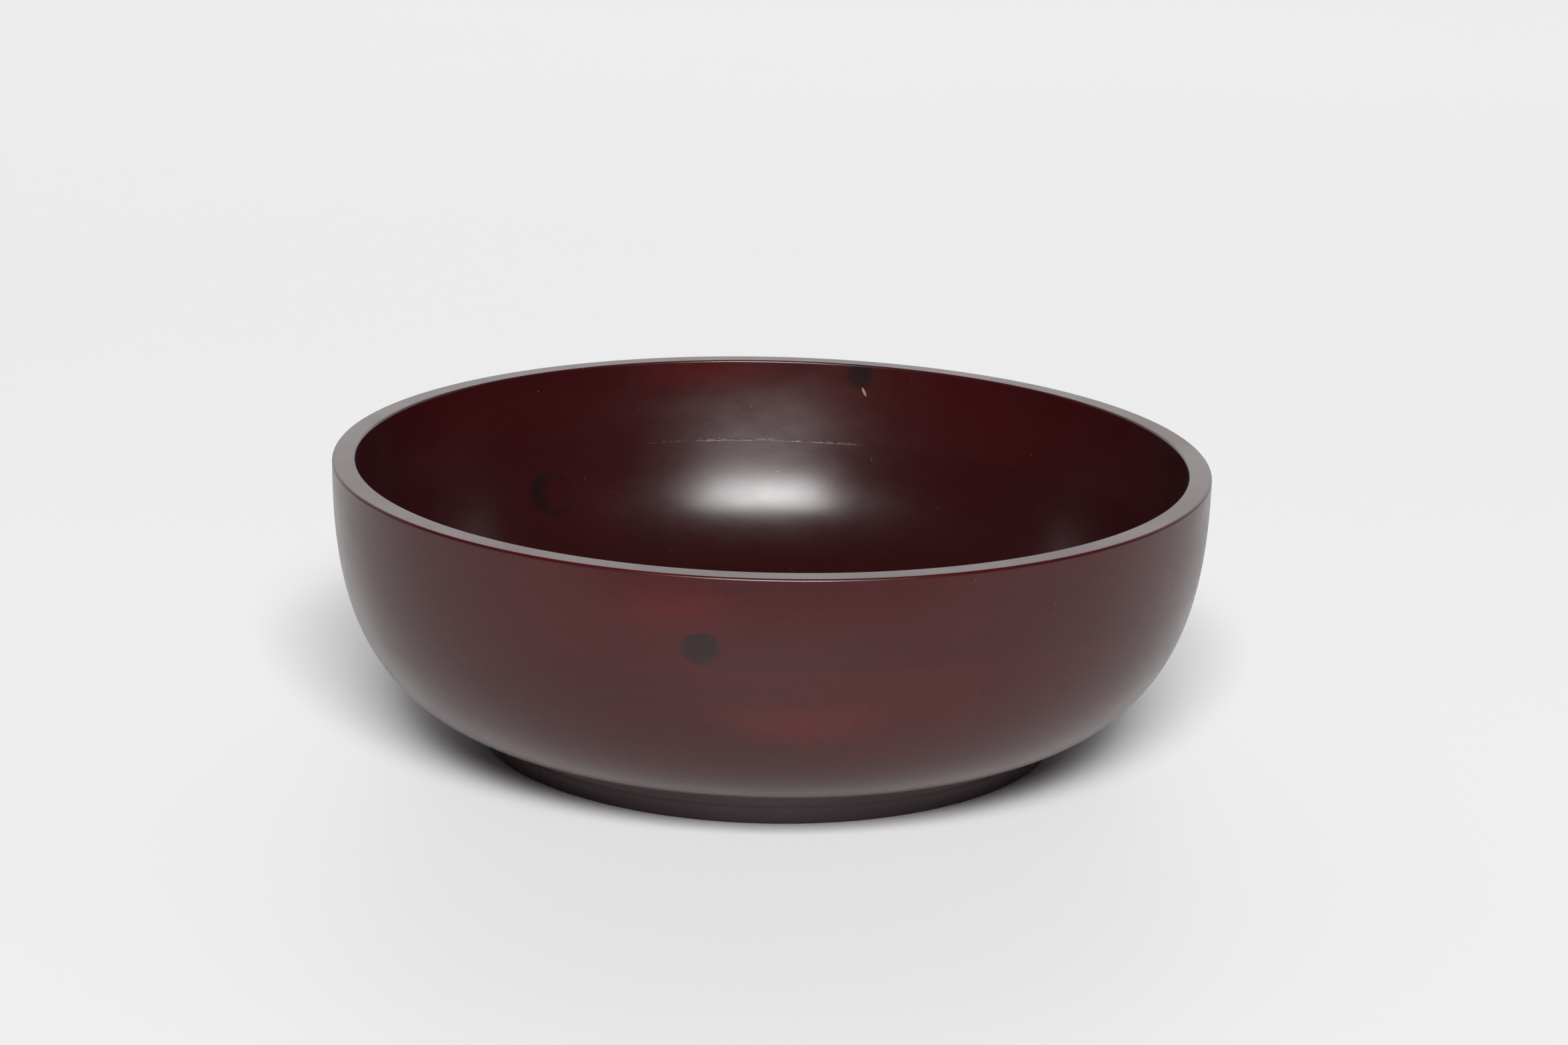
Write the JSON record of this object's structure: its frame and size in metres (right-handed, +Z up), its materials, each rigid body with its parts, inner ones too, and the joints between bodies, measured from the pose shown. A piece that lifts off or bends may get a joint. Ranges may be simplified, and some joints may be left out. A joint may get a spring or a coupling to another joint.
{
  "type": "turned wooden bowl",
  "caption": "Wide, low turned wooden bowl with steep walls, a flat rim and a small round foot, glued up from boards and lacquered dark red-brown.",
  "frame": {"origin": "centre of the circle the foot stands on, at the bottom", "axes": "+Z up along the turning axis; +X to the right and -Y to the front as first seen"},
  "size_m": [0.25, 0.25, 0.0808],
  "materials": {
    "base_wood": "satin dark red-brown lacquer over wood grain",
    "middle_wood": "satin dark red-brown lacquer over wood grain",
    "top_wood": "satin dark red-brown lacquer over wood grain",
    "dark_knot": "satin lacquer over near-black branch wood",
    "red_knot": "satin lacquer over branch wood",
    "bark": "dull black ingrown bark"
  },
  "bodies": {
    "root": {"base_board": "base_wood", "middle_board_1": "middle_wood", "middle_board_2": "middle_wood", "middle_board_3": "middle_wood", "middle_board_4": "middle_wood", "top_board_1": "top_wood", "top_board_2": "top_wood", "top_board_3": "top_wood", "top_board_4": "top_wood", "front_knot": "dark_knot", "back_knot": "dark_knot", "side_knot": "red_knot", "side_knot_bark": "bark"}
  },
  "joints": []
}
